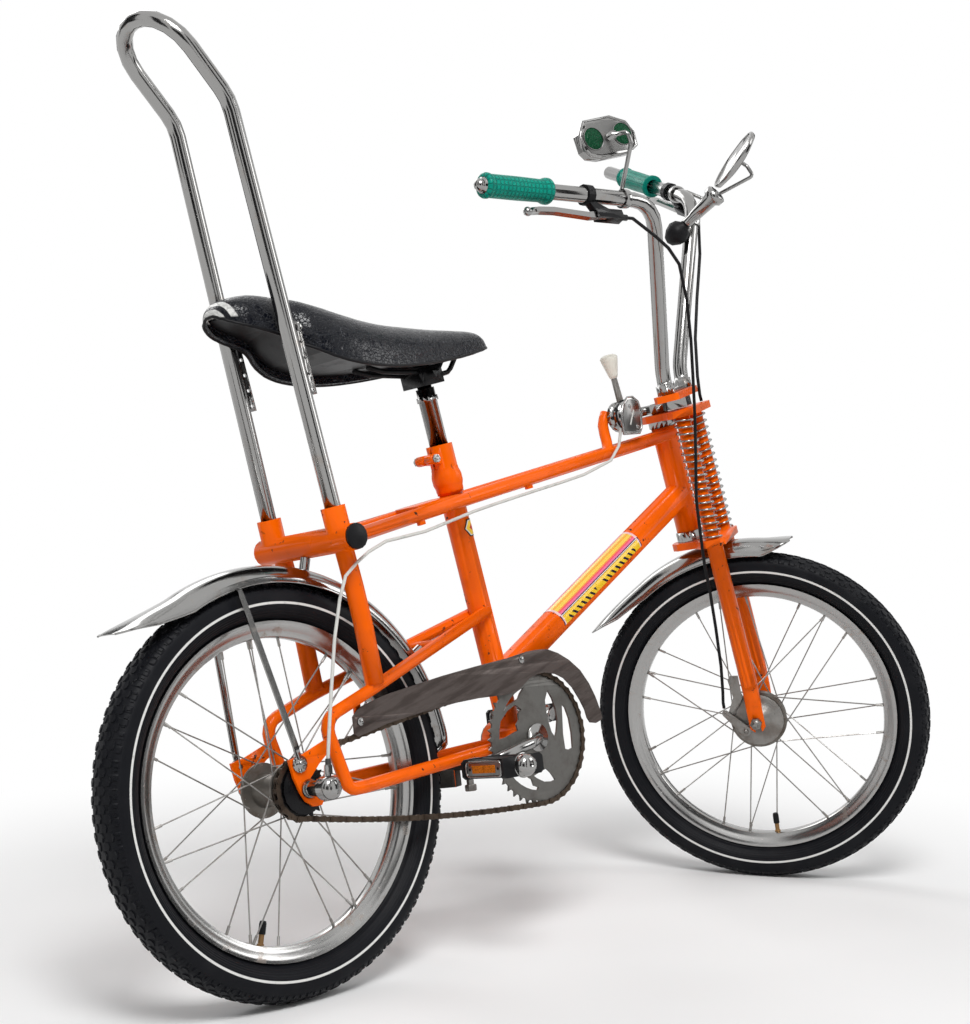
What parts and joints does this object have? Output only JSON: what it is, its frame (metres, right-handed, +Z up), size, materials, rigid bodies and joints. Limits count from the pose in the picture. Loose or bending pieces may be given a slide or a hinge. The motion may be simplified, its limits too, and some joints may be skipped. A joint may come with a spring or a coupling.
{
  "type": "chopper bike",
  "caption": "Small-wheeled chopper bike with high handlebar, long seat, sissy bar, twin-tube frame, mirrors, horn and side stand, fully jointed.",
  "frame": {"origin": "centre of the bounding box at ground level, with the bike leaned onto its side stand as pictured", "axes": "+X towards the front of the bike, +Y towards its left side, +Z up"},
  "size_m": [1.3206, 0.6836, 1.2086],
  "materials": {
    "orange_paint": "gloss",
    "chrome": "polished",
    "grey_steel": "dull",
    "brown_steel": "oxidised",
    "tyre_rubber": "matte",
    "black_vinyl": "worn semi-gloss",
    "black_enamel": "semi-gloss",
    "black_rubber": "matte",
    "black_plastic": "satin",
    "white_plastic": "satin",
    "cream_plastic": "gloss",
    "teal_rubber": "satin"
  },
  "bodies": {
    "frame_assembly": {"bb_cup_left": "grey_steel", "bb_cup_right": "grey_steel", "chain": "brown_steel", "chain_guard": "brown_steel", "fender_stay_left": "chrome", "fender_stay_right": "chrome", "headset_cup_lower": "chrome", "headset_cup_upper": "chrome", "main_frame": "orange_paint", "rear_axle": "grey_steel", "rear_fender": "chrome", "saddle_clamp": "black_enamel", "seat_bolt_left": "chrome", "seat_bolt_right": "chrome", "seat_cushion": "black_vinyl", "seat_pan": "black_enamel", "seat_post": "chrome", "seat_post_bolt": "black_enamel", "shift_box": "chrome", "shift_cable": "white_plastic", "shifter_housing": "chrome", "sissy_bar": "chrome", "tube_plug": "black_plastic"},
    "steering_assembly": {"fork": "orange_paint", "fork_upper_plate": "orange_paint", "fork_spring_left": "chrome", "fork_spring_right": "chrome", "front_fender": "chrome", "front_axle": "grey_steel", "brake_plate": "grey_steel", "bar_clamp": "chrome", "bar_plate": "orange_paint", "handlebar": "chrome", "grip_left": "teal_rubber", "grip_right": "teal_rubber", "brake_bracket_left": "black_enamel", "brake_bracket_right": "black_enamel", "front_brake_cable": "black_plastic", "second_brake_cable": "black_plastic", "horn_trumpet": "chrome", "horn_bulb": "black_rubber"},
    "front_wheel": {"front_hub_and_spokes": "grey_steel", "front_rim": "chrome", "front_tyre": "tyre_rubber"},
    "rear_wheel": {"rear_hub_and_spokes": "grey_steel", "rear_rim": "chrome", "rear_tyre": "tyre_rubber"},
    "rear_sprocket": {"rear_sprocket": "black_enamel"},
    "crankset": {"chainring": "grey_steel", "crank": "chrome"},
    "pedal_right": {"pedal_right": "black_rubber"},
    "pedal_left": {"pedal_left": "black_rubber"},
    "side_stand": {"kickstand_leg": "grey_steel"},
    "gear_lever": {"shift_lever": "grey_steel", "shift_knob": "cream_plastic"},
    "brake_lever_right": {"brake_lever_right": "chrome"},
    "brake_lever_left": {"brake_lever_left": "chrome"},
    "brake_arm": {"brake_arm": "grey_steel"},
    "mirror_octagon": {"mirror_octagon": "chrome"},
    "mirror_oval": {"mirror_oval": "chrome"}
  },
  "joints": [
    {"name": "steering_turn", "type": "hinge", "parent": "frame_assembly", "child": "steering_assembly", "pos_m": [0.49097, -0.07886, 0.25312], "axis": [-0.195, 0.1534, 0.9687], "range_deg": [-12, 130]},
    {"name": "front_wheel_spin", "type": "hinge", "parent": "steering_assembly", "child": "front_wheel", "pos_m": [0.51104, -0.11404, 0.25458], "axis": [0.863, 0.4962, 0.0951], "continuous": true},
    {"name": "rear_wheel_spin", "type": "hinge", "parent": "frame_assembly", "child": "rear_wheel", "pos_m": [-0.40489, -0.07886, 0.25351], "axis": [-0.0001, 0.9877, -0.1564], "continuous": true},
    {"name": "crank_spin", "type": "hinge", "parent": "frame_assembly", "child": "crankset", "pos_m": [0.00411, -0.07628, 0.26963], "axis": [-0.0001, 0.9877, -0.1564], "continuous": true},
    {"name": "rear_sprocket_spin", "type": "hinge", "parent": "frame_assembly", "child": "rear_sprocket", "pos_m": [-0.40489, -0.07886, 0.25351], "axis": [-0.0001, 0.9877, -0.1564], "continuous": true},
    {"name": "pedal_right_spin", "type": "hinge", "parent": "crankset", "child": "pedal_right", "pos_m": [-0.13377, -0.08008, 0.24568], "axis": [-0.0001, 0.9877, -0.1564], "continuous": true},
    {"name": "pedal_left_spin", "type": "hinge", "parent": "crankset", "child": "pedal_left", "pos_m": [0.142, -0.07248, 0.29358], "axis": [-0.0001, 0.9877, -0.1564], "continuous": true},
    {"name": "side_stand_fold", "type": "hinge", "parent": "frame_assembly", "child": "side_stand", "pos_m": [-0.1369, -0.04181, 0.22525], "axis": [-0.4473, 0.8834, -0.1397], "range_deg": [0, 88]},
    {"name": "gear_lever_shift", "type": "hinge", "parent": "frame_assembly", "child": "gear_lever", "pos_m": [0.28731, -0.00596, 0.71347], "axis": [-0.0001, 0.9877, -0.1564], "range_deg": [-25, 25]},
    {"name": "brake_lever_right_pull", "type": "hinge", "parent": "steering_assembly", "child": "brake_lever_right", "pos_m": [0.11785, -0.13573, 0.99187], "axis": [-0.0922, -0.8645, 0.4941], "range_deg": [-4.5, 0], "stiffness_Nm_per_rad": 2, "springref_deg": 5.73},
    {"name": "brake_lever_left_pull", "type": "hinge", "parent": "steering_assembly", "child": "brake_lever_left", "pos_m": [0.58118, 0.10803, 1.05968], "axis": [-0.6731, 0.4445, -0.591], "range_deg": [-4.5, 0], "stiffness_Nm_per_rad": 2, "springref_deg": 5.73},
    {"name": "brake_arm_pull", "type": "hinge", "parent": "steering_assembly", "child": "brake_arm", "pos_m": [0.50359, -0.09794, 0.23814], "axis": [0.863, 0.4962, 0.0951], "range_deg": [0, 4.5]},
    {"name": "mirror_octagon_turn", "type": "hinge", "parent": "steering_assembly", "child": "mirror_octagon", "pos_m": [0.17475, -0.12366, 1.03252], "axis": [-0.195, 0.1534, 0.9687], "range_deg": [-20, 60]},
    {"name": "mirror_oval_turn", "type": "hinge", "parent": "steering_assembly", "child": "mirror_oval", "pos_m": [0.56234, 0.08306, 1.08494], "axis": [-0.195, 0.1534, 0.9687], "range_deg": [-5, 60]}
  ],
  "couplings": [
    {"joint": "rear_sprocket_spin", "follows": "crank_spin", "ratio": 2.4444},
    {"joint": "brake_arm_pull", "follows": "brake_lever_right_pull", "ratio": -1}
  ]
}
